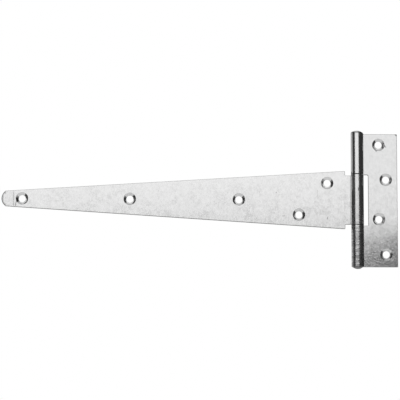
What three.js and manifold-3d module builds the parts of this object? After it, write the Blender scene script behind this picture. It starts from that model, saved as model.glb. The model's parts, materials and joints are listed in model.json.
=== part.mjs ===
// A light tee hinge: a long tapered strap that swings on a pin held in a short cross leaf.
// Millimetres, +Z up along the pin. Both leaves' mounting faces lie in the plane y = 0 and look along +Y;
// the countersinks and the rolled barrel are on the front, towards -Y. The strap runs towards -X.
// The origin is on the cross leaf's mounting face, in the middle of its four screw holes.

import * as THREE from 'three';
import { mergeVertices, toCreasedNormals } from 'three/addons/utils/BufferGeometryUtils.js';
import Module from 'manifold-3d';

// Sheet, pin and barrel
const sheet = 2;
const pinRadius = 3.25;
const pinClearance = 0.1;
const boreRadius = pinRadius + pinClearance;
const barrelRadius = boreRadius + sheet;
const seamGap = 0.3; // from the rolled end of a knuckle to the front of its own leaf
const rollRoot = 4; // flat stretch of each knuckle, from the tangent line into its leaf
const rootOverlap = 1; // how far that stretch and the leaf run through each other before they are joined

// Cross leaf, called the flange; its x distances are from the pin's axis
const flangeHeight = 113;
const flangeWidth = 34.2;
const slotHeight = 43.1; // the cut-out that the strap's knuckle turns in
const slotDepth = 9.6;
const slotTopRadius = 1;
const slotBottomRadius = 0.5;
const flangeHoleNear = 18.5;
const flangeHoleFar = 24.5;
const flangeHoleOuter = 46.6; // height of the top and bottom holes above and below the middle of the four
const flangeHoleInner = 16.8;
const flangeHoleRise = 0.7; // how far the middle of the four holes is above the leaf's own middle

// Strap; its x distances are from the pin's axis too
const strapLength = 300.2;
const strapWidth = 49.3;
const shoulderStart = 10;
const neckWidth = 41.6;
const neckFillet = 0.8;
const strapRise = 0.2; // how far the strap's centreline is above the middle of the cut-out
const upperPlay = 0.5; // the strap's knuckle rests low in the cut-out, so most of its end play is above it
const lowerPlay = 0.25;
const tabLength = 10; // the nearly parallel end of the strap
const tabRootWidth = 13.9;
const tabEndWidth = 12.9;
const tabEndRadius = 7.9;

// Countersunk screw holes
const holeRadius = 3.1;
const countersinkRadius = 5.1;
const holeLand = 0.2; // the straight stretch of the hole, at the back of the sheet
const cutterReach = 1; // how far a cutter runs past each face

// Pin heads, above and below the barrel
const headRadius = 5.2;
const headRim = 0.6;
const headHeight = 2.3;
const rivetRadius = 4.6;
const rivetRim = 0.4;
const rivetTipRadius = 1.6;
const rivetHeight = 2;
const headGap = 0.1; // from the end of the barrel to the underside of a head

// Facets
const roundSegments = 40;
const arcSegments = 10;
const weldDistance = 1e-4; // vertices closer than this are one vertex
const creaseAngle = THREE.MathUtils.degToRad(20); // edges sharper than this stay sharp

const pinToOrigin = (flangeHoleNear + flangeHoleFar) / 2;
const knuckleHeight = (flangeHeight - slotHeight) / 2;

const flangeHoles = [
  [flangeHoleNear, flangeHoleOuter],
  [flangeHoleFar, flangeHoleInner],
  [flangeHoleNear, -flangeHoleInner],
  [flangeHoleFar, -flangeHoleOuter],
].map(([x, z]) => [x, z + flangeHoleRise]);

const strapHoles = [
  [-25.05, 14.3],
  [-49, -12.7],
  [-99.75, 0],
  [-191.9, 0],
  [-282.9, 0],
];

const wasm = await Module();
wasm.setup();

// A closed mesh as a solid that can be joined to others and cut, and the way back
function toSolid(geometry) {
  const bare = geometry.clone();
  bare.deleteAttribute('normal');
  bare.deleteAttribute('uv');
  const merged = mergeVertices(bare, weldDistance);
  const vertProperties = new Float32Array(merged.attributes.position.array);
  const triVerts = new Uint32Array(merged.index.array);
  return new wasm.Manifold(new wasm.Mesh({ numProp: 3, vertProperties, triVerts }));
}

function toGeometry(solid) {
  const mesh = solid.getMesh();
  const geometry = new THREE.BufferGeometry();
  geometry.setAttribute('position', new THREE.BufferAttribute(new Float32Array(mesh.vertProperties), 3));
  geometry.setIndex(new THREE.BufferAttribute(new Uint32Array(mesh.triVerts), 1));
  return toCreasedNormals(geometry, creaseAngle);
}

// A straight, sharp-edged bar of the given outline
function extruded(outline, depth, curveSegments) {
  return new THREE.ExtrudeGeometry(outline, { depth, curveSegments, bevelEnabled: false });
}

// A flat leaf from its outline in x and z: back in the plane y = 0, front at y = -sheet
function leafPlate(outline) {
  const plate = extruded(outline, sheet, arcSegments);
  plate.rotateX(Math.PI / 2);
  return toSolid(plate);
}

// A knuckle rolled forwards round the pin from a leaf that lies on one side, -1 for -X and 1 for +X.
// The sheet leaves the back plane at the pin's axis, goes right round and ends just in front of its own leaf.
function knuckle(side, bottom, height) {
  const seamAngle = Math.acos(1 - (sheet + seamGap) / barrelRadius);
  const start = Math.PI / 2;
  const end = start + side * (2 * Math.PI - seamAngle);
  const section = new THREE.Shape();
  section.moveTo(side * rollRoot, 0);
  section.lineTo(0, 0);
  section.absarc(0, -barrelRadius, barrelRadius, start, end, side < 0);
  section.absarc(0, -barrelRadius, boreRadius, end, start, side > 0);
  section.lineTo(side * rollRoot, -sheet);
  const roll = extruded(section, height, roundSegments);
  roll.translate(0, 0, bottom);
  return toSolid(roll);
}

// The tool for one screw hole: a shank hole that opens into a countersink on the front
function countersinkCutter([x, z]) {
  const slope = (countersinkRadius - holeRadius) / (sheet - holeLand);
  const profile = [
    new THREE.Vector2(0, -sheet - cutterReach),
    new THREE.Vector2(countersinkRadius + slope * cutterReach, -sheet - cutterReach),
    new THREE.Vector2(holeRadius, -holeLand),
    new THREE.Vector2(holeRadius, cutterReach),
    new THREE.Vector2(0, cutterReach),
  ];
  const cutter = new THREE.LatheGeometry(profile, roundSegments);
  cutter.translate(x, 0, z);
  return toSolid(cutter);
}

function drilled(blank, holes) {
  return holes.reduce((solid, hole) => solid.subtract(countersinkCutter(hole)), blank);
}

// Flange: the cross leaf with a cut-out on the pin's side, and a knuckle above and below the cut-out
function flangeOutline() {
  const half = flangeHeight / 2;
  const slotTop = slotHeight / 2;
  const topBend = slotDepth - slotTopRadius;
  const bottomBend = slotDepth - slotBottomRadius;
  const root = rollRoot - rootOverlap;
  const outline = new THREE.Shape();
  outline.moveTo(root, -half);
  outline.lineTo(flangeWidth, -half);
  outline.lineTo(flangeWidth, half);
  outline.lineTo(root, half);
  outline.lineTo(root, slotTop);
  outline.lineTo(topBend, slotTop);
  outline.absarc(topBend, slotTop - slotTopRadius, slotTopRadius, Math.PI / 2, 0, true);
  outline.absarc(bottomBend, -slotTop + slotBottomRadius, slotBottomRadius, 0, -Math.PI / 2, true);
  outline.lineTo(root, -slotTop);
  outline.closePath();
  return outline;
}

function flangeLeaf() {
  const upper = knuckle(1, slotHeight / 2, knuckleHeight);
  const lower = knuckle(1, -flangeHeight / 2, knuckleHeight);
  const blank = leafPlate(flangeOutline()).add(upper).add(lower);
  return toGeometry(drilled(blank, flangeHoles));
}

// Strap: neck, square shoulders, a long taper, and a short tab with a rounded end
function strapOutline() {
  const halfNeck = neckWidth / 2;
  const halfWidth = strapWidth / 2;
  const tabRoot = tabLength - strapLength;
  const endSweep = Math.asin(tabEndWidth / 2 / tabEndRadius);
  const outline = new THREE.Shape();
  outline.moveTo(rootOverlap - rollRoot, -halfNeck);
  outline.lineTo(rootOverlap - rollRoot, halfNeck);
  outline.absarc(neckFillet - shoulderStart, halfNeck + neckFillet, neckFillet, -Math.PI / 2, -Math.PI, true);
  outline.lineTo(-shoulderStart, halfWidth);
  outline.lineTo(tabRoot, tabRootWidth / 2);
  outline.absarc(tabEndRadius - strapLength, 0, tabEndRadius, Math.PI - endSweep, Math.PI + endSweep, false);
  outline.lineTo(tabRoot, -tabRootWidth / 2);
  outline.lineTo(-shoulderStart, -halfWidth);
  outline.absarc(neckFillet - shoulderStart, -halfNeck - neckFillet, neckFillet, Math.PI, Math.PI / 2, true);
  outline.closePath();
  return outline;
}

function strapLeaf() {
  const height = slotHeight - upperPlay - lowerPlay;
  const plate = drilled(leafPlate(strapOutline()), strapHoles).translate([0, 0, strapRise]);
  return toGeometry(plate.add(knuckle(-1, lowerPlay - slotHeight / 2, height)));
}

// Pin: a shaft with a low round head at the top and a hammered rivet head at the bottom
function hingePin() {
  const barrelEnd = flangeHeight / 2;
  const domeRise = headHeight - headGap - headRim;
  const domeSteps = 10;
  const profile = [
    new THREE.Vector2(0, -barrelEnd - rivetHeight),
    new THREE.Vector2(rivetTipRadius, -barrelEnd - rivetHeight),
    new THREE.Vector2(rivetRadius, -barrelEnd - headGap - rivetRim),
    new THREE.Vector2(rivetRadius, -barrelEnd - headGap),
    new THREE.Vector2(pinRadius, -barrelEnd - headGap),
    new THREE.Vector2(pinRadius, barrelEnd + headGap),
    new THREE.Vector2(headRadius, barrelEnd + headGap),
  ];
  for (let step = 0; step <= domeSteps; step += 1) {
    const turn = (step / domeSteps) * (Math.PI / 2);
    const height = barrelEnd + headHeight - domeRise * (1 - Math.sin(turn));
    profile.push(new THREE.Vector2(step === domeSteps ? 0 : headRadius * Math.cos(turn), height));
  }
  const pin = new THREE.LatheGeometry(profile, roundSegments);
  pin.rotateX(Math.PI / 2);
  return pin;
}

const zincPlate = { roughness: 0.35, metalness: 1 };

function namedMesh(name, geometry, color) {
  const mesh = new THREE.Mesh(geometry, new THREE.MeshStandardMaterial({ ...zincPlate, color }));
  mesh.name = name;
  return mesh;
}

const pin = namedMesh('hinge_pin', hingePin(), 0xb9bbbd);
pin.position.y = -barrelRadius;

const hinge = new THREE.Group();
hinge.position.set(-pinToOrigin, 0, -flangeHoleRise);
hinge.add(namedMesh('flange_leaf', flangeLeaf(), 0xcfd1d3));
hinge.add(namedMesh('strap_leaf', strapLeaf(), 0xd6d8da));
hinge.add(pin);

export default hinge;
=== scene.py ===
"""A light tee hinge in bright zinc plate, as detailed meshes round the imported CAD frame.

Metres, in the CAD frame: +Z up along the pin, the strap towards -X, both mounting faces in the plane y = 0.
Each leaf is made the way the real one is: a flat blank is drawn, pierced and countersunk, its cut edges are
worked, and then its tongues are rolled round the pin.
"""
import json
import math
from collections import namedtuple

import bmesh
import bpy
import numpy as np
from mathutils import Matrix, Vector, noise
from mathutils.geometry import delaunay_2d_cdt


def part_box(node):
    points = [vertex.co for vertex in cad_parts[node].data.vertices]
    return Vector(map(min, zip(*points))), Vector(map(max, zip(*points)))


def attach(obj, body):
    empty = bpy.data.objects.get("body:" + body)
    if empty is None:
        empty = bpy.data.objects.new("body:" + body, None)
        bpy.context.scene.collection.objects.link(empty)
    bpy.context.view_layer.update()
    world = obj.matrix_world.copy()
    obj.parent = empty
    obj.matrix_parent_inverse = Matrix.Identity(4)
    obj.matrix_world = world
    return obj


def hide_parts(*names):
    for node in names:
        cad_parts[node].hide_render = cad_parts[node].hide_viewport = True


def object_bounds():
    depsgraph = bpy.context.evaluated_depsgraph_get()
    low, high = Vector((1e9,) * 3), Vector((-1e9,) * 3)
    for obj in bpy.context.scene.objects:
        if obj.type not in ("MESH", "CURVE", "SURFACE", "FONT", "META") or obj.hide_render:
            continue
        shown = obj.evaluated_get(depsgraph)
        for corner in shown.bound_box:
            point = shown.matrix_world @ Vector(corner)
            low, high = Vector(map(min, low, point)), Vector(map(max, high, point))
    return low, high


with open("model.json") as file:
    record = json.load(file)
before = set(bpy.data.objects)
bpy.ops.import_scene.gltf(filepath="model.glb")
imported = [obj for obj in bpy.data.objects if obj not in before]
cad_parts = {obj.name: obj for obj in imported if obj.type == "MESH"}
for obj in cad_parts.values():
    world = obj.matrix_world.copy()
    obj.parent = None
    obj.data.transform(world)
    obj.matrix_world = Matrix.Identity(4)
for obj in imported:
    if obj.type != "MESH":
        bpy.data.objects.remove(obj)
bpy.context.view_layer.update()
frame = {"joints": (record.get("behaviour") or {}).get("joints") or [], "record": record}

MM = 0.001

# From the frame: the pin's axis, and the outer limits of the leaves and the pin
PIN_X, PIN_Y, _ = frame["joints"][0]["pos_m"]
BARREL_RADIUS = -PIN_Y
FLANGE_LOW, FLANGE_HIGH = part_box("flange_leaf")
STRAP_LOW, STRAP_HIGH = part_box("strap_leaf")
PIN_LOW, PIN_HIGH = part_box("hinge_pin")
FLANGE_MIDDLE = (FLANGE_LOW.z + FLANGE_HIGH.z) / 2
STRAP_MIDDLE = (STRAP_LOW.z + STRAP_HIGH.z) / 2

# Sheet and roll. A tongue is the stretch of a blank that becomes a knuckle.
SHEET = 2 * MM
ROLL_RADIUS = BARREL_RADIUS - SHEET / 2
SEAM_GAP = 0.3 * MM
SEAM_ANGLE = math.acos(1 - (SHEET + SEAM_GAP) / BARREL_RADIUS)
TONGUE = ROLL_RADIUS * (2 * math.pi - SEAM_ANGLE)

# Cross leaf, called the flange
FLANGE_WIDTH = FLANGE_HIGH.x - PIN_X
SLOT_HEIGHT = 43.1 * MM
SLOT_TOP = FLANGE_MIDDLE + SLOT_HEIGHT / 2
SLOT_BOTTOM = FLANGE_MIDDLE - SLOT_HEIGHT / 2
SLOT_DEPTH = 9.6 * MM
SLOT_TOP_RADIUS = 1 * MM
SLOT_BOTTOM_RADIUS = 0.5 * MM
CORNER_RADIUS = 0.5 * MM
FLANGE_DRIFT = 0.4 * MM  # how much higher the upper knuckle's end is at the tongue's tip than at its root

# Strap
STRAP_LENGTH = PIN_X - STRAP_LOW.x
SHOULDER = 10 * MM
NECK_WIDTH = 41.6 * MM
NECK_FILLET = 0.8 * MM
KNUCKLE_TOP = SLOT_TOP - 0.5 * MM
KNUCKLE_BOTTOM = SLOT_BOTTOM + 0.25 * MM
KNUCKLE_ROOT = 3 * MM
STRAP_DRIFT = 0.28 * MM
TAB_LENGTH = 10 * MM
TAB_ROOT = STRAP_LENGTH - TAB_LENGTH
TAB_ROOT_WIDTH = 13.9 * MM
TAB_END_WIDTH = 12.9 * MM
TAB_END_RADIUS = 7.9 * MM
TAB_LIFT = math.radians(1.2)

# Screw holes
HOLE_RADIUS = 3.0 * MM
HOLE_ROUND = 0.08 * MM
HOLE_LAND = 0.2 * MM
SINK_RADIUS = 5.2 * MM
SINK_LIP = 0.25 * MM

# Cut edges: the front one is drawn down by the punch, the back one is nearly square
FRONT_ROUND = 0.32 * MM
BACK_ROUND = 0.12 * MM
SUPPORT = 0.12 * MM  # the narrow band of faces between a rounded edge and the flat
GROUND_EDGE = 2.4  # how much wider the bare edge is round the strap's end, which is ground
GROUND_FROM = STRAP_LENGTH - 3.5 * MM
SINK_CUT = -0.25  # a countersink is smoother than the sheet

# Relief of the sheet
SLOW_WAVE, SLOW_DEPTH = 24 * MM, 0.02 * MM
QUICK_WAVE, QUICK_DEPTH = 9 * MM, 0.006 * MM
RING_LENGTH, RING_PITCH = 6 * MM, 1.3 * MM
RING_DEPTH = 0.004 * MM
HAMMERED_RING_DEPTH = 0.03 * MM
TAB_LINE_WIDTH, TAB_LINE_DEPTH = 0.45 * MM, 0.1 * MM
DIE_LINES = (11 * MM, 33.5 * MM)
DIE_LINE_WIDTH, DIE_LINE_DEPTH = 0.3 * MM, 0.008 * MM

# Pin
SHAFT_RADIUS = 3.25 * MM
HEAD_GAP = 0.1 * MM
HEAD_RADIUS = 4.95 * MM
HEAD_RIM = 0.9 * MM
HEAD_SHIFT = 0.2 * MM
HEAD_DROP = 0.4 * MM  # how far the head is worn down on its +X side
HEAD_FLATS, HEAD_FLAT_DEPTH = 2 * MM, 0.05 * MM
RIVET_RADIUS = 4.6 * MM
RIVET_EDGE = 0.25 * MM
RIVET_TIP = (  # radius, and height above the pin's lowest point
    (0, 0),
    (1.0 * MM, 0.05 * MM),
    (2.0 * MM, 0.25 * MM),
    (2.9 * MM, 0.6 * MM),
    (3.7 * MM, 1.0 * MM),
    (4.3 * MM, 1.4 * MM),
)
RIVET_FACETS, FACET_SWAY, FACET_DEPTH = 7, 1.3, 0.035
RIVET_BLOWS, RIVET_BLOW_DEPTH = 1.2 * MM, 0.12 * MM
PIN_CHAMFER = 0.1 * MM
WORKED_END = 0.3 * MM  # the pin's ends are worked from this far beyond the barrel

# Mesh density
FLAT_STEP = 2 * MM
ROLL_STEP = 0.36 * MM
ROLL_HEIGHT_STEP = 0.7 * MM
FINE_STEP = 0.15 * MM
FINE_HEIGHT_STEP = 0.8 * MM
FINE_ROWS = 3  # on each side of a fine line
CORNER_STEPS = 6
TIP_STEPS = 20
ROUND_STEPS = 4
DOME_STEPS = 12
SHAFT_RINGS = 40
HOLE_SEGMENTS = 64
PIN_SEGMENTS = 72
LEAST_MITRE = 0.4  # keeps sharp corners from running away when an outline is inset


# ---------------------------------------------------------------- outlines of the flat blanks
# u is the distance from the pin's axis along the sheet: positive in the leaf, negative in a tongue.

def rounded(corners):
    """A closed outline from (u, z, radius) corners: each corner with a radius becomes an arc."""
    outline = []
    count = len(corners)
    for n, (u, z, radius) in enumerate(corners):
        here = Vector((u, z))
        if radius == 0:
            outline.append(here)
            continue
        back = (Vector(corners[n - 1][:2]) - here).normalized()
        ahead = (Vector(corners[(n + 1) % count][:2]) - here).normalized()
        half = back.angle(ahead) / 2
        centre = here + (back + ahead).normalized() * radius / math.sin(half)
        start = here + back * radius / math.tan(half) - centre
        end = here + ahead * radius / math.tan(half) - centre
        turn = start.angle_signed(end)
        turns = [-turn * k / CORNER_STEPS for k in range(CORNER_STEPS + 1)]
        outline += [centre + Matrix.Rotation(t, 2) @ start for t in turns]
    return outline


def divided(outline):
    """The outline with its stretches cut into steps: short ones in a tongue, which is going to be rolled."""
    points = []
    for n, end in enumerate(outline):
        start = outline[n - 1]
        stops = [0.0, 1.0]
        if start.x * end.x < 0:
            stops.insert(1, start.x / (start.x - end.x))
        for low, high in zip(stops, stops[1:]):
            a, b = start.lerp(end, low), start.lerp(end, high)
            in_roll = (a.x + b.x) / 2 < 0
            along_u = abs(b.x - a.x) > abs(b.y - a.y)
            step = FLAT_STEP
            if in_roll:
                step = ROLL_STEP if along_u else ROLL_HEIGHT_STEP
            parts = max(1, math.ceil((b - a).length / step))
            points += [a.lerp(b, (k + 1) / parts) for k in range(parts)]
    return points


def flange_outline():
    low, high = FLANGE_LOW.z, FLANGE_HIGH.z
    return rounded([
        (-TONGUE, low, 0),
        (FLANGE_WIDTH, low, CORNER_RADIUS),
        (FLANGE_WIDTH, high, CORNER_RADIUS),
        (-TONGUE, high, 0),
        (-TONGUE, SLOT_TOP + FLANGE_DRIFT, 0),
        (SLOT_DEPTH, SLOT_TOP, SLOT_TOP_RADIUS),
        (SLOT_DEPTH, SLOT_BOTTOM, SLOT_BOTTOM_RADIUS),
        (-TONGUE, SLOT_BOTTOM, 0),
    ])


def strap_outline():
    middle = STRAP_MIDDLE
    neck = NECK_WIDTH / 2
    sweep = math.asin(TAB_END_WIDTH / 2 / TAB_END_RADIUS)
    turns = [sweep * (2 * k / TIP_STEPS - 1) for k in range(TIP_STEPS + 1)]
    centre = STRAP_LENGTH - TAB_END_RADIUS
    tip = [(centre + TAB_END_RADIUS * math.cos(t), middle + TAB_END_RADIUS * math.sin(t), 0) for t in turns]
    return rounded([
        (-TONGUE, KNUCKLE_BOTTOM, 0),
        (KNUCKLE_ROOT, KNUCKLE_BOTTOM, 0),
        (KNUCKLE_ROOT + NECK_FILLET, middle - neck, 0),
        (SHOULDER, middle - neck, NECK_FILLET),
        (SHOULDER, STRAP_LOW.z, CORNER_RADIUS),
        (TAB_ROOT, middle - TAB_ROOT_WIDTH / 2, 0),
        *tip,
        (TAB_ROOT, middle + TAB_ROOT_WIDTH / 2, 0),
        (SHOULDER, STRAP_HIGH.z, CORNER_RADIUS),
        (SHOULDER, middle + neck, NECK_FILLET),
        (KNUCKLE_ROOT + NECK_FILLET, middle + neck, 0),
        (KNUCKLE_ROOT, KNUCKLE_TOP, 0),
        (-TONGUE, KNUCKLE_TOP + STRAP_DRIFT, 0),
    ])


def hole_centres(prefix, side):
    """(u, z) of the screw holes whose openings the record states under that prefix."""
    centres = []
    for opening in frame["record"]["physics"]["openings"]:
        if opening["name"].startswith(prefix):
            low, high = opening["box_m"]
            centres.append(Vector((side * ((low[0] + high[0]) / 2 - PIN_X), (low[2] + high[2]) / 2)))
    return centres


# ---------------------------------------------------------------- meshing a blank

def inset(outline, distance):
    """The outline moved inwards, with mitred corners. The outline runs counter-clockwise."""
    moved = []
    count = len(outline)
    for n, here in enumerate(outline):
        before = (here - outline[n - 1]).normalized()
        after = (outline[(n + 1) % count] - here).normalized()
        inwards = Vector((-before.y - after.y, before.x + after.x)).normalized()
        mitre = max(LEAST_MITRE, inwards.dot(Vector((-before.y, before.x))))
        moved.append(here + inwards * distance / mitre)
    return moved


def turn_steps(end):
    """(sine, 1 - cosine) along a turn from 0 to end degrees."""
    angles = [math.radians(end * k / ROUND_STEPS) for k in range(ROUND_STEPS + 1)]
    return [(math.sin(a), 1 - math.cos(a)) for a in angles]


def edge_profile():
    """(distance in from the cut line, height above the back face) down a cut edge, front to back."""
    turns = turn_steps(90)
    front = [(FRONT_ROUND * (1 - s), SHEET - FRONT_ROUND * c) for s, c in turns]
    back = [(BACK_ROUND * (1 - s), BACK_ROUND * c) for s, c in reversed(turns)]
    return [(FRONT_ROUND + SUPPORT, SHEET), *front, *back, (BACK_ROUND + SUPPORT, 0)]


def hole_profile():
    """(radius, height above the back face) down a countersunk hole, front to back."""
    slope = math.degrees(math.atan((SHEET - HOLE_LAND) / (SINK_RADIUS - HOLE_RADIUS)))
    mouth = SINK_RADIUS + SINK_LIP * math.tan(math.radians(slope / 2))
    lip = [(mouth - SINK_LIP * s, SHEET - SINK_LIP * c) for s, c in turn_steps(slope)]
    return [
        (mouth + SUPPORT, SHEET),
        *lip,
        (HOLE_RADIUS + HOLE_ROUND, HOLE_LAND + HOLE_ROUND),
        (HOLE_RADIUS, HOLE_LAND),
        (HOLE_RADIUS, HOLE_ROUND),
        (HOLE_RADIUS + HOLE_ROUND, 0),
        (HOLE_RADIUS + HOLE_ROUND + SUPPORT, 0),
    ]


def circle(centre, radius):
    turns = [2 * math.pi * k / HOLE_SEGMENTS for k in range(HOLE_SEGMENTS)]
    return [centre + radius * Vector((math.cos(t), math.sin(t))) for t in turns]


def distance_and_side(points, loop):
    """For each point, its distance from a closed loop and whether it lies inside it."""
    a = np.array([p[:] for p in loop])
    b = np.roll(a, -1, axis=0)
    nearest = np.full(len(points), np.inf)
    inside = np.zeros(len(points), bool)
    least_square = 1e-18
    for start, end in zip(a, b):
        step = end - start
        offset = points - start
        t = np.clip(offset @ step / max(step @ step, least_square), 0, 1)
        nearest = np.minimum(nearest, np.linalg.norm(offset - t[:, None] * step, axis=1))
        if start[1] != end[1]:
            crosses = (points[:, 1] < start[1]) != (points[:, 1] < end[1])
            at = start[0] + (points[:, 1] - start[1]) * step[0] / step[1]
            inside ^= crosses & (points[:, 0] < at)
    return nearest, inside


def filling(outline, centres, fine_lines):
    """Points that fill the face inside an outline and outside its holes.

    They are closer together in the tongues, and along each of the fine lines, which are values of u.
    """
    us = [p.x for p in outline]
    zs = [p.y for p in outline]
    grid = []
    spans = [(min(us), 0, ROLL_STEP, ROLL_HEIGHT_STEP), (0, max(us), FLAT_STEP, FLAT_STEP)]
    for low, high, step_u, step_z in spans:
        for u in np.arange(low, high, step_u):
            if all(abs(u - line) > FLAT_STEP / 2 for line in fine_lines):
                grid += [(u, z) for z in np.arange(min(zs), max(zs), step_z)]
    for line in fine_lines:
        for k in range(-FINE_ROWS, FINE_ROWS + 1):
            grid += [(line + k * FINE_STEP, z) for z in np.arange(min(zs), max(zs), FINE_HEIGHT_STEP)]
    points = np.array(grid)

    # Points too close to an edge or a hole would make slivers
    roll_clearance, flat_clearance, hole_clearance = 0.6 * ROLL_STEP, 0.4 * FLAT_STEP, 0.5 * FLAT_STEP
    gap = np.where(points[:, 0] < 0, roll_clearance, flat_clearance)
    nearest, inside = distance_and_side(points, outline)
    keep = inside & (nearest > gap + FRONT_ROUND + SUPPORT)
    for centre in centres:
        keep &= np.linalg.norm(points - np.array(centre[:]), axis=1) > SINK_RADIUS + hole_clearance
    return [Vector(p) for p in points[keep]]


class Blank:
    """A pressing while it is still flat. Points are (u, z, height above the back face).

    cut is the state of the surface at each point: 0 on the plated sheet, up to 1 on a bare sheared edge, and
    less than 0 in a countersink, which is smoother than the sheet.
    """

    def __init__(self, outline, centres, fine_lines=(), ground_from=math.inf):
        self.points = []
        self.faces = []
        self.cut = []
        outline = divided(outline)
        rings = []
        for distance, height in edge_profile():
            loop = inset(outline, distance)
            widths = [FRONT_ROUND * (GROUND_EDGE if p.x > ground_from else 1) for p in loop]
            cut = [(height > 0) * max(0, 1 - (distance / width) ** 2) for width in widths]
            rings.append(self.ring(loop, height, cut))
        self.strips(rings)
        loops = [rings]
        for centre in centres:
            rings = []
            for radius, height in hole_profile():
                cut = SINK_CUT * (0 < height and radius < SINK_RADIUS)
                rings.append(self.ring(circle(centre, radius), height, [cut] * HOLE_SEGMENTS))
            self.strips(rings)
            loops.append(rings)
        fill = filling(outline, centres, fine_lines)
        self.face([rings[0] for rings in loops], fill, SHEET)
        self.face([rings[-1] for rings in loops], fill, 0)

    def ring(self, loop, height, cut):
        first = len(self.points)
        self.points += [(p.x, p.y, height) for p in loop]
        self.cut += cut
        return list(range(first, len(self.points)))

    def strips(self, rings):
        for upper, lower in zip(rings, rings[1:]):
            for k in range(len(upper)):
                self.faces.append((upper[k - 1], upper[k], lower[k], lower[k - 1]))

    def face(self, loops, fill, height):
        """Triangles between the loops, through the filling points. They are worked out in millimetres."""
        known = [index for loop in loops for index in loop]
        place = {index: n for n, index in enumerate(known)}
        edges = [(place[loop[k - 1]], place[loop[k]]) for loop in loops for k in range(len(loop))]
        known += self.ring(fill, height, [0] * len(fill))
        flat = [Vector(self.points[index][:2]) / MM for index in known]
        all_triangles, weld_distance, least_area = 0, 1e-5, 2e-3
        made, _, triangles, sources, _, _ = delaunay_2d_cdt(flat, edges, [], all_triangles, weld_distance)
        middles = np.array([sum((made[i] for i in t), Vector((0, 0))) / 3 for t in triangles])
        outside, *holes = [[flat[place[index]] for index in loop] for loop in loops]
        keep = distance_and_side(middles, outside)[1]
        for hole in holes:
            keep &= ~distance_and_side(middles, hole)[1]
        for triangle, kept in zip(triangles, keep):
            a, b, c = (made[i] for i in triangle)
            if kept and abs((b - a).cross(c - a)) > least_area:
                self.faces.append(tuple(known[sources[i][0]] for i in triangle))


# ---------------------------------------------------------------- rolling and finishing

def uneven(u, v, layer):
    """Smooth noise from 0 to 2. Each layer is another pattern."""
    return 1 + noise.noise(Vector((u, v, layer)))


def line_dent(distance, width):
    """The section of a shallow pressed line: 1 in its middle, 0 beyond its width."""
    return max(0.0, 1 - (distance / width) ** 2)


def pressed_in(side, u, z):
    """How far a surface is pressed in: waves of the sheet, ripples of the roll, and lines from the dies."""
    quick_layer = 40 * MM / QUICK_WAVE
    roll_layer = 3 + side
    depth = SLOW_DEPTH * uneven(u / SLOW_WAVE, z / SLOW_WAVE, 0)
    depth += QUICK_DEPTH * uneven(u / QUICK_WAVE, z / QUICK_WAVE, quick_layer)
    if u < 0:
        lower_knuckle = side > 0 and z < SLOT_BOTTOM
        ring_depth = HAMMERED_RING_DEPTH if lower_knuckle else RING_DEPTH
        depth += ring_depth * uneven(u / RING_LENGTH, z / RING_PITCH, roll_layer)
    elif side < 0:
        depth += TAB_LINE_DEPTH * line_dent(u - TAB_ROOT, TAB_LINE_WIDTH)
        depth += sum(DIE_LINE_DEPTH * line_dent(u - line, DIE_LINE_WIDTH) for line in DIE_LINES)
    return depth


def bent(side, u, z, height):
    """Where a point of a blank lies once it is rolled. side is -1 for the strap and 1 for the flange."""
    if u >= 0:
        return Vector((PIN_X + side * u, -height, z))
    turn = -u / ROLL_RADIUS
    radius = BARREL_RADIUS - height
    return Vector((PIN_X - side * radius * math.sin(turn), PIN_Y + radius * math.cos(turn), z))


def added(name, mesh):
    """A smooth-shaded object of that mesh, in the scene."""
    mesh.shade_smooth()
    piece = bpy.data.objects.new(name, mesh)
    bpy.context.scene.collection.objects.link(piece)
    return piece


def pressing(name, side, blank):
    """The finished leaf."""
    places = []
    for u, z, height in blank.points:
        towards_front = 2 * height / SHEET - 1
        lifted = height - towards_front * pressed_in(side, u, z)
        if side < 0 and u > TAB_ROOT:
            lifted += (u - TAB_ROOT) * math.sin(TAB_LIFT)
        places.append(bent(side, u, z, lifted))
    mesh = bpy.data.meshes.new(name)
    mesh.from_pydata(places, [], blank.faces)
    mesh.attributes.new("cut", "FLOAT", "POINT").data.foreach_set("value", blank.cut)
    work = bmesh.new()
    work.from_mesh(mesh)
    bmesh.ops.recalc_face_normals(work, faces=work.faces)
    work.to_mesh(mesh)
    work.free()
    return added(name, mesh)


def pin_profile():
    """(radius, z) of the pin from the tip of its rivet end to the top of its head."""
    low, high = FLANGE_LOW.z - HEAD_GAP, FLANGE_HIGH.z + HEAD_GAP
    rivet = [(radius, PIN_LOW.z + height) for radius, height in RIVET_TIP]
    rivet += [
        (RIVET_RADIUS, low - RIVET_EDGE),
        (RIVET_RADIUS - PIN_CHAMFER, low),
        (SHAFT_RADIUS + PIN_CHAMFER, low),
    ]
    shaft = [(SHAFT_RADIUS, z) for z in np.linspace(low + PIN_CHAMFER, high - PIN_CHAMFER, SHAFT_RINGS)]
    head = [
        (SHAFT_RADIUS + PIN_CHAMFER, high),
        (HEAD_RADIUS - PIN_CHAMFER, high),
        (HEAD_RADIUS, high + PIN_CHAMFER),
    ]
    dome = PIN_HIGH.z - (high + HEAD_RIM)
    for k in range(DOME_STEPS + 1):
        part = 1 - k / DOME_STEPS
        head.append((HEAD_RADIUS * part, PIN_HIGH.z - dome * part ** 2))
    return rivet + shaft + head


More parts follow.
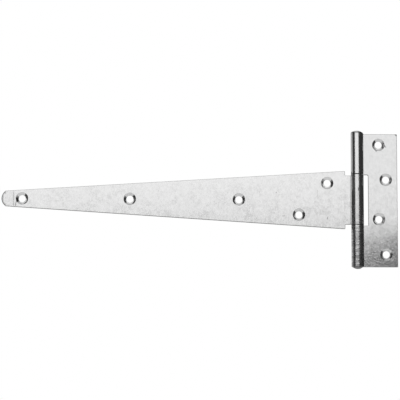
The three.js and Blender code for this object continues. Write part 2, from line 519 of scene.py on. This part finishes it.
def hammered(radius, turn, z):
    """A point of the pin. The rivet end is worked into uneven facets; the head has soft flats and is worn."""
    rivet_layer, head_layer = 0, 2500
    if z < FLANGE_LOW.z - WORKED_END:
        facets = math.cos(RIVET_FACETS * turn + FACET_SWAY * math.sin(2 * turn))
        radius *= 1 - FACET_DEPTH * (1 + facets)
        reach = radius / RIVET_BLOWS
        z += RIVET_BLOW_DEPTH * uneven(reach * math.cos(turn), reach * math.sin(turn), rivet_layer)
    elif z > FLANGE_HIGH.z + WORKED_END:
        reach = radius / HEAD_FLATS
        z -= HEAD_FLAT_DEPTH * uneven(reach * math.cos(turn), reach * math.sin(turn), head_layer)
        z -= HEAD_DROP * max(0, math.cos(turn)) * (radius / HEAD_RADIUS) ** 3
    place = Vector((PIN_X + radius * math.cos(turn), PIN_Y + radius * math.sin(turn), z))
    if z > FLANGE_HIGH.z:
        place.x -= HEAD_SHIFT
    return place


def riveted_pin(name):
    """The pin, turned from its profile, with its two worked ends."""
    work = bmesh.new()
    rings = []
    for radius, z in pin_profile():
        count = PIN_SEGMENTS if radius else 1
        turns = [2 * math.pi * k / PIN_SEGMENTS for k in range(count)]
        rings.append([work.verts.new(hammered(radius, t, z)) for t in turns])
    for lower, upper in zip(rings, rings[1:]):
        for k in range(PIN_SEGMENTS):
            corners = [lower[k - 1 if len(lower) > 1 else 0], upper[k - 1 if len(upper) > 1 else 0]]
            corners += [upper[k]] if len(upper) > 1 else []
            corners += [lower[k]] if len(lower) > 1 else []
            work.faces.new(corners)
    bmesh.ops.recalc_face_normals(work, faces=work.faces)
    mesh = bpy.data.meshes.new(name)
    work.to_mesh(mesh)
    work.free()
    return added(name, mesh)


# ---------------------------------------------------------------- materials

# A noise: the size of its features, its detail and roughness, the noise values where the pattern made from it
# starts and is full, and how much its coordinates are stretched
Pattern = namedtuple("Pattern", "size detail rough edges stretch", defaults=((0, 1), None))

STREAKS = Pattern(0.7 * MM, 3, 0.5, (0.35, 0.65), (1, 1, 0.3))
SPANGLE = Pattern(1.6 * MM, 4, 0.8, (0.42, 0.62), (1, 1, 0.6))
SPECKS = Pattern(1.3 * MM, 3, 0.7, (0.64, 0.72))
CLOUDS = Pattern(7 * MM, 5, 0.8, (0.48, 0.66))
FOLDS = Pattern(5 * MM, 5, 0.75)
PATCHES = Pattern(12 * MM, 2, 0.5, (0.42, 0.56))
SCORES = Pattern(1.5 * MM, 2, 0.6, (0.42, 0.58), (0.12, 0.12, 1))
GLOSS = Pattern(3 * MM, 4, 0.5, (0.35, 0.65))
WAVES = Pattern(22 * MM, 2, 0.5)
LUMPS = Pattern(6 * MM, 3, 0.6)
RIPPLES = Pattern(2.2 * MM, 3, 0.6)
DENTS = Pattern(2 * MM, 2, 0.6, stretch=(0.5, 0.5, 1))

# Where each effect starts and where it is full, as distances from the pin's axis or as heights
ROLL_SPAN = (BARREL_RADIUS + 0.6 * MM, BARREL_RADIUS + 0.2 * MM)
# painted shade inside the knuckles and on the pin: where it starts and where it is full
GAP_SHADE_SPAN = (BARREL_RADIUS - 0.4 * MM, BARREL_RADIUS - 0.9 * MM)
TONE_SPAN = (FLANGE_MIDDLE - 30 * MM, FLANGE_MIDDLE + 22 * MM)
TINT_SPAN = (-10 * MM, 25 * MM)
HANDLED_SPAN = (15 * MM, -20 * MM)
HAMMERED_SPAN = (-18 * MM, -24 * MM)
DISH_SPAN = (-16 * MM, FLANGE_LOW.z - 20 * MM)

# How strong each effect is
LEAST_WORN = 0.1
LEAST_HANDLED = 0.4
CLOUD_AMOUNT = 0.6  # next to the patina's own
SPECK_AMOUNT = 0.7
SCORE_AMOUNT = 0.6
CUT_AMOUNT = 0.9
CREASE_AMOUNT = 2.5  # next to the grain's own
CREASE_WIDTH = 0.035
GLOSS_RANGE = (-0.02, 0.03)
CUT_ROUGHNESS = 0.2
DULL_ROUGHNESS = 0.6
HAMMERED_ROUGHNESS = 0.06
WAVE_HEIGHT = 0.06 * MM
LUMP_HEIGHT = 0.015 * MM
RIPPLE_HEIGHT = 0.03 * MM
STREAK_HEIGHT = 0.002 * MM
DENT_HEIGHT = 0.15 * MM
DISH_INNER = 0.4

# How bright a fully affected surface is
WHITE_GREY = 1
BLACK_GREY = 0
CLOUD_GREY = 0.25
SPANGLE_GREY = 0.2
SPECK_GREY = 0.45
SCORE_GREY = 0.35
CUT_GREY = 0.12
SCUFF_GREY = 0.1
# painted shade: the pin and the insides of the knuckles are painted nearly black, where they show through the
# gaps
GAP_SHADE_GREY = 0.04


class Nodes:
    """A short way to write a node tree: each method adds a node or a few and returns their output."""

    def __init__(self, tree):
        self.tree = tree

    def put(self, socket, value):
        if isinstance(value, bpy.types.NodeSocket):
            self.tree.links.new(value, socket)
        elif isinstance(value, tuple) and socket.type == "RGBA":
            socket.default_value = (*value, 1)
        else:
            socket.default_value = value

    def coordinates(self):
        return self.tree.nodes.new("ShaderNodeTexCoord").outputs["Object"]

    def attribute(self, name):
        node = self.tree.nodes.new("ShaderNodeAttribute")
        node.attribute_name = name
        return node.outputs["Fac"]

    def separate(self, vector):
        node = self.tree.nodes.new("ShaderNodeSeparateXYZ")
        self.put(node.inputs["Vector"], vector)
        return [node.outputs[axis] for axis in "XYZ"]

    def maths(self, operation, *values):
        node = self.tree.nodes.new("ShaderNodeMath")
        node.operation = operation
        for socket, value in zip(node.inputs, values):
            self.put(socket, value)
        return node.outputs["Value"]

    def times(self, a, b):
        return self.maths("MULTIPLY", a, b)

    def times_add(self, a, b, c):
        return self.maths("MULTIPLY_ADD", a, b, c)

    def minus(self, a, b):
        return self.maths("SUBTRACT", a, b)

    def length(self, a, b):
        return self.maths("SQRT", self.times_add(a, a, self.times(b, b)))

    def spread(self, value, low, high, out_low=0, out_high=1, shape="LINEAR"):
        """The value mapped from low and high to out_low and out_high, and held there beyond them."""
        node = self.tree.nodes.new("ShaderNodeMapRange")
        node.interpolation_type = shape
        ends = {"From Min": low, "From Max": high, "To Min": out_low, "To Max": out_high}
        for socket, number in ends.items():
            self.put(node.inputs[socket], number)
        self.put(node.inputs["Value"], value)
        return node.outputs["Result"]

    def noise(self, place, pattern):
        """The pattern's noise itself."""
        if pattern.stretch:
            stretch = self.tree.nodes.new("ShaderNodeVectorMath")
            stretch.operation = "MULTIPLY"
            self.put(stretch.inputs[0], place)
            self.put(stretch.inputs[1], pattern.stretch)
            place = stretch.outputs["Vector"]
        node = self.tree.nodes.new("ShaderNodeTexNoise")
        self.put(node.inputs["Vector"], place)
        self.put(node.inputs["Scale"], 1 / pattern.size)
        self.put(node.inputs["Detail"], pattern.detail)
        self.put(node.inputs["Roughness"], pattern.rough)
        return node.outputs["Fac"]

    def pattern(self, place, pattern, low, high):
        """low outside the pattern and high in it."""
        return self.spread(self.noise(place, pattern), *pattern.edges, low, high)

    def towards(self, colour, grey, amount):
        """The colour, or a grey in its place, by an amount from 0 to 1."""
        node = self.tree.nodes.new("ShaderNodeMix")
        node.data_type = "RGBA"
        factor, a, b = 0, 6, 7
        for socket, value in ((a, colour), (b, (grey,) * 3), (factor, amount)):
            self.put(node.inputs[socket], value)
        return node.outputs[2]

    def bump(self, height, distance, normal=None):
        node = self.tree.nodes.new("ShaderNodeBump")
        self.put(node.inputs["Distance"], distance)
        self.put(node.inputs["Height"], height)
        if normal is not None:
            self.put(node.inputs["Normal"], normal)
        return node.outputs["Normal"]

    def scuff(self, x, y, z, start, end, width, face):
        """1 on a short mark from start to end, both (x, z), on the surface in front of y = face."""
        along = (end[0] - start[0], end[1] - start[1])
        length2 = along[0] ** 2 + along[1] ** 2
        dx = self.minus(x, start[0])
        dz = self.minus(z, start[1])
        t = self.spread(self.times_add(dx, along[0], self.times(dz, along[1])), 0, length2)
        off = self.length(self.times_add(t, -along[0], dx), self.times_add(t, -along[1], dz))
        return self.times(self.spread(off, width / 2, width / 4), self.maths("LESS_THAN", y, face))


class Plate:
    """The plate at a shaded point: where that is, and how far each effect has gone there, from 0 to 1."""

    def __init__(self, nodes, wear, roll_tones, marks):
        self.place = nodes.coordinates()
        self.x, y, self.z = nodes.separate(self.place)
        self.cut = nodes.attribute("cut")
        self.streaks = nodes.noise(self.place, STREAKS)
        away = nodes.length(nodes.minus(self.x, PIN_X), nodes.minus(y, PIN_Y))

        # The roll stretches the plate and dulls it, and the lower knuckle has been hammered as well
        rolled = nodes.spread(away, *ROLL_SPAN)
        tone = nodes.spread(self.z, *TONE_SPAN, *roll_tones)
        self.dull = nodes.times(rolled, nodes.minus(1, tone))
        self.hammered = nodes.times(rolled, nodes.spread(self.z, *HAMMERED_SPAN))

        # Inside the knuckles, painted shade: the pin and the knuckles' inner faces, seen through the gaps
        # between the knuckles, are painted nearly black
        above = nodes.maths("GREATER_THAN", self.z, FLANGE_LOW.z)
        below = nodes.maths("LESS_THAN", self.z, FLANGE_HIGH.z)
        self.gap_shade = nodes.times(nodes.spread(away, *GAP_SHADE_SPAN), nodes.times(above, below))

        # Wear, corrosion and handling are worst low down
        self.worn = nodes.spread(self.z, *wear, LEAST_WORN, 1)
        self.handled = nodes.spread(self.z, *HANDLED_SPAN, LEAST_HANDLED, 1)

        self.scuffed = 0.0
        for start, end, width, face, strength in marks:
            mark = nodes.times(nodes.scuff(self.x, y, self.z, start, end, width, face), strength)
            self.scuffed = nodes.maths("MAXIMUM", self.scuffed, mark)


def plate_colour(nodes, plate, tints, grain, patina):
    """The sheet's tint, less its streaks and creases, and then each effect in turn."""
    place = plate.place
    streaks = nodes.spread(plate.streaks, *STREAKS.edges, grain, 0)
    folds = nodes.maths("ABSOLUTE", nodes.minus(nodes.noise(place, FOLDS), 0.5))
    creases = nodes.spread(folds, 0, CREASE_WIDTH, 1, 0)
    creased = nodes.times(nodes.pattern(place, PATCHES, 0, CREASE_AMOUNT * grain), plate.handled)
    skin = nodes.times_add(creased, creases, nodes.times(plate.handled, streaks))
    bright = nodes.times(nodes.spread(plate.z, *TINT_SPAN, *tints), nodes.minus(1, skin))
    colour = nodes.towards((BLACK_GREY,) * 3, WHITE_GREY, bright)
    effects = (
        (CLOUD_GREY, nodes.times(nodes.pattern(place, CLOUDS, 0, CLOUD_AMOUNT * patina), plate.worn)),
        (SPANGLE_GREY, nodes.times(nodes.pattern(place, SPANGLE, 0, patina), plate.worn)),
        (SPECK_GREY, nodes.times(nodes.pattern(place, SPECKS, 0, SPECK_AMOUNT), plate.worn)),
        (SCORE_GREY, nodes.times(nodes.pattern(place, SCORES, 0, SCORE_AMOUNT), plate.hammered)),
        (BLACK_GREY, plate.dull),
        (CUT_GREY, nodes.times(plate.cut, CUT_AMOUNT)),
        (SCUFF_GREY, plate.scuffed),
        # painted shade inside the knuckles and on the pin, between the parts
        (GAP_SHADE_GREY, plate.gap_shade),
    )
    for grey, amount in effects:
        colour = nodes.towards(colour, grey, amount)
    return colour


def plate_roughness(nodes, plate, roughness):
    """An uneven gloss, rougher on sheared edges and on the roll."""
    smooth, rough = (roughness + change for change in GLOSS_RANGE)
    value = nodes.pattern(plate.place, GLOSS, smooth, rough)
    value = nodes.times_add(plate.cut, CUT_ROUGHNESS, value)
    value = nodes.times_add(plate.dull, DULL_ROUGHNESS, value)
    return nodes.times_add(plate.hammered, HAMMERED_ROUGHNESS, value)


def plate_relief(nodes, plate, unevenness, dish):
    """The normal, with the relief that is too fine for the mesh."""
    place = plate.place
    lumps = nodes.times(nodes.noise(place, LUMPS), plate.worn)
    ripples = nodes.times(nodes.noise(place, RIPPLES), plate.worn)
    dents = nodes.times(nodes.noise(place, DENTS), plate.hammered)
    normal = nodes.bump(nodes.noise(place, WAVES), unevenness * WAVE_HEIGHT)
    normal = nodes.bump(lumps, unevenness * LUMP_HEIGHT, normal)
    normal = nodes.bump(ripples, unevenness * RIPPLE_HEIGHT, normal)
    normal = nodes.bump(plate.streaks, STREAK_HEIGHT, normal)
    normal = nodes.bump(dents, DENT_HEIGHT, normal)
    if dish:
        fall = nodes.spread(plate.z, *DISH_SPAN, 0, -1, "SMOOTHSTEP")
        outer = nodes.spread(plate.x, PIN_X, FLANGE_HIGH.x, DISH_INNER, 1)
        normal = nodes.bump(nodes.times(fall, outer), dish, normal)
    return normal


def zinc(name, wear, tints, roughness, grain, unevenness, patina, roll_tones, dish=0, marks=()):
    """Bright zinc plate: metal with faint clouding, an uneven gloss, a fine skin and a few marks of handling.

    wear is the heights where wear begins and where it is at its worst.
    tints are how bright the sheet is low down and high up.
    grain is how dark its fine streaks are, and unevenness is how deep its waves are.
    patina is how much the plate has clouded where it is worn.
    roll_tones are how bright the barrel is at its lower and upper end, next to the flat sheet.
    dish is how far the sheet falls away at the lower outer corner of the cross leaf.
    marks are nicks and scratches, each (start, end, width, face, strength).
    """
    material = bpy.data.materials.new(name)
    material.use_nodes = True
    shader = material.node_tree.nodes["Principled BSDF"]
    nodes = Nodes(material.node_tree)
    plate = Plate(nodes, wear, roll_tones, marks)
    nodes.put(shader.inputs["Base Color"], plate_colour(nodes, plate, tints, grain, patina))
    nodes.put(shader.inputs["Roughness"], plate_roughness(nodes, plate, roughness))
    nodes.put(shader.inputs["Metallic"], 1.0)
    nodes.put(shader.inputs["Normal"], plate_relief(nodes, plate, unevenness, dish))
    return material


# Nicks and scratches: start and end, both (x, z), then width, face and strength. The marked surface is in
# front of y = face.
FRONT = -1 * MM
BARREL_FRONT = -10 * MM
BARREL_LINE = PIN_X + 0.3 * MM
TAB_X = STRAP_LOW.x + TAB_LENGTH
FLANGE_MARKS = (
    ((2.1 * MM, 46.0 * MM), (3.0 * MM, 44.8 * MM), 0.9 * MM, FRONT, 0.9),
    ((-5.3 * MM, 42.2 * MM), (-4.9 * MM, 41.0 * MM), 0.9 * MM, FRONT, 0.8),
    ((11.3 * MM, 55.8 * MM), (12.4 * MM, 54.9 * MM), 1.5 * MM, FRONT, 1),
)
STRAP_MARKS = (
    ((BARREL_LINE, 9.0 * MM), (BARREL_LINE, 6.6 * MM), 0.8 * MM, BARREL_FRONT, 1),
    ((-46.3 * MM, -15.2 * MM), (-46.5 * MM, -16.6 * MM), 0.8 * MM, FRONT, 0.7),
    ((TAB_X, -7 * MM), (TAB_X, 7 * MM), 0.5 * MM, FRONT, 0.35),
    ((-310.0 * MM, -6.5 * MM), (-308.8 * MM, -1.0 * MM), 0.8 * MM, FRONT, 0.7),
    ((-82.6 * MM, -14.2 * MM), (-84.6 * MM, -14.4 * MM), 0.7 * MM, FRONT, 0.5),
    ((-89.5 * MM, 5.8 * MM), (-89.9 * MM, 5.4 * MM), 0.8 * MM, FRONT, 0.6),
    ((-55.0 * MM, 8.0 * MM), (-55.0 * MM, 2.0 * MM), 0.5 * MM, FRONT, 0.25),
    ((-31.8 * MM, -2.0 * MM), (-31.8 * MM, -10.0 * MM), 0.5 * MM, FRONT, 0.3),
)

FLANGE_FINISH = {
    "wear": (-19 * MM, -52 * MM),
    "tints": (0.89, 0.86),
    "roughness": 0.2,
    "grain": 0.04,
    "unevenness": 2,
    "patina": 0.42,
    "roll_tones": (1, 1),
    "dish": 1.28 * MM,
    "marks": FLANGE_MARKS,
}
STRAP_FINISH = {
    "wear": (-4 * MM, -30 * MM),
    "tints": (0.91, 0.91),
    "roughness": 0.2,
    "grain": 0.1,
    "unevenness": 0.8,
    "patina": 0.1,
    "roll_tones": (0.9, 0.95),
    "marks": STRAP_MARKS,
}
PIN_FINISH = {
    "wear": (-14 * MM, -45 * MM),
    "tints": (0.75, 0.75),
    "roughness": 0.24,
    "grain": 0.1,
    "unevenness": 1,
    "patina": 0.2,
    "roll_tones": (0.55, 1),
}


# ---------------------------------------------------------------- studio

# name, place, the point it faces, size, radiance, roll in degrees
SOFTBOXES = (
    ("front_softbox", (-0.31, -1, 0.49), (-0.31, 0, 0.49), (1.32, 1.0), 0.94, 3),
    ("side_softbox", (-1.2, 0.5, 0.1), (0, 0, 0.1), (0.9, 1.4), 0.35, 0),
    ("back_softbox", (-0.6, 1.2, 0.3), (-0.6, 0, 0.3), (1.8, 1.4), 0.55, 0),
    ("top_softbox", (-0.1, 0, 1.2), (-0.1, 0, 0), (1.6, 1.6), 0.45, 0),
    ("low_softbox", (-0.1, 0, -0.39), (-0.1, 0, 0), (1.2, 0.8), 0.6, 0),
    ("front_floor_glow", (0, -1.45, -0.39), (0, -1.45, 0), (3, 2), 0.36, 0),
    ("back_floor_glow", (0, 1.45, -0.39), (0, 1.45, 0), (3, 2), 0.45, 0),
)
ROOM_GREY = (0.03, 0.03, 0.03, 1)
WHITE = (1, 1, 1, 1)
FLOOR_HEIGHT = -0.4
FLOOR_REACH = 4
FLOOR_CELLS = 8
FLOOR_GREY = (0.8, 0.8, 0.8, 1)
FLOOR_ROUGHNESS = 0.9
FLOOR_GLOW = 1.0
CAMERA_DISTANCE = 1.25
CAMERA_ELEVATION = math.radians(-6.8)
CAMERA_ROLL = math.radians(0.27)
CAMERA_CLIP = (0.1, 20)
CAMERA_WIDTH = 336.9 * MM  # of what it sees at the hinge
CAMERA_OFFSET = Vector((0.43 * MM, 0, -1.0 * MM))  # from the middle of the hinge to the point it faces


def softbox(name, place, aim, size, radiance, roll):
    data = bpy.data.lights.new(name, "AREA")
    data.shape = "RECTANGLE"
    data.size, data.size_y = size
    data.energy = radiance * math.pi * size[0] * size[1]
    lamp = bpy.data.objects.new(name, data)
    facing = (Vector(aim) - Vector(place)).to_track_quat("-Z", "Y").to_matrix().to_4x4()
    lamp.matrix_world = Matrix.Translation(place) @ facing @ Matrix.Rotation(math.radians(roll), 4, "Z")
    lamp.visible_camera = False
    bpy.context.scene.collection.objects.link(lamp)


def surroundings():
    """A white backdrop for the camera, and a dim grey room for everything that reflects it."""
    world = bpy.data.worlds.new("studio")
    bpy.context.scene.world = world
    world.use_nodes = True
    tree = world.node_tree
    room = tree.nodes["Background"]
    room.inputs["Color"].default_value = ROOM_GREY
    backdrop = tree.nodes.new("ShaderNodeBackground")
    backdrop.inputs["Color"].default_value = WHITE
    mix = tree.nodes.new("ShaderNodeMixShader")
    path = tree.nodes.new("ShaderNodeLightPath")
    tree.links.new(path.outputs["Is Camera Ray"], mix.inputs["Fac"])
    tree.links.new(room.outputs["Background"], mix.inputs[1])
    tree.links.new(backdrop.outputs["Background"], mix.inputs[2])
    tree.links.new(mix.outputs["Shader"], tree.nodes["World Output"].inputs["Surface"])


def pale_floor():
    work = bmesh.new()
    bmesh.ops.create_grid(work, x_segments=FLOOR_CELLS, y_segments=FLOOR_CELLS, size=FLOOR_REACH)
    mesh = bpy.data.meshes.new("floor")
    work.to_mesh(mesh)
    work.free()
    floor = bpy.data.objects.new("floor", mesh)
    floor.location.z = FLOOR_HEIGHT
    floor.visible_glossy = False
    pale = bpy.data.materials.new("pale_floor")
    pale.use_nodes = True
    shader = pale.node_tree.nodes["Principled BSDF"]
    shader.inputs["Base Color"].default_value = FLOOR_GREY
    shader.inputs["Roughness"].default_value = FLOOR_ROUGHNESS
    shader.inputs["Emission Color"].default_value = WHITE
    shader.inputs["Emission Strength"].default_value = FLOOR_GLOW
    mesh.materials.append(pale)
    bpy.context.scene.collection.objects.link(floor)


def front_camera(target):
    """A long lens, a little below the target and looking slightly up at it."""
    camera = bpy.data.cameras.new("camera")
    camera.lens = camera.sensor_width * CAMERA_DISTANCE / CAMERA_WIDTH
    camera.clip_start, camera.clip_end = CAMERA_CLIP
    eye = bpy.data.objects.new("camera", camera)
    back = Vector((0, -math.cos(CAMERA_ELEVATION), math.sin(CAMERA_ELEVATION)))
    facing = (-back).to_track_quat("-Z", "Y").to_matrix().to_4x4()
    roll = Matrix.Rotation(CAMERA_ROLL, 4, "Z")
    eye.matrix_world = Matrix.Translation(target + back * CAMERA_DISTANCE) @ facing @ roll
    bpy.context.scene.collection.objects.link(eye)
    bpy.context.scene.camera = eye


# ---------------------------------------------------------------- the scene

flange_blank = Blank(flange_outline(), hole_centres("flange", 1))
strap_blank = Blank(strap_outline(), hole_centres("strap", -1), (TAB_ROOT, *DIE_LINES), GROUND_FROM)
flange = pressing("flange_pressing", 1, flange_blank)
strap = pressing("strap_pressing", -1, strap_blank)
pin = riveted_pin("riveted_pin")

pieces = (
    (flange, "flange", "flange_leaf", "zinc_plated_flange", FLANGE_FINISH),
    (strap, "strap", "strap_leaf", "zinc_plated_strap", STRAP_FINISH),
    (pin, "flange", "hinge_pin", "zinc_plated_pin", PIN_FINISH),
)
for piece, body, node, slot, finish in pieces:
    piece.data.materials.append(zinc(slot, **finish))
    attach(piece, body)
    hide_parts(node)

low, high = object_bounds()
bpy.context.scene.view_settings.view_transform = "Standard"
surroundings()
for box in SOFTBOXES:
    softbox(*box)
pale_floor()
front_camera((low + high) / 2 + CAMERA_OFFSET)
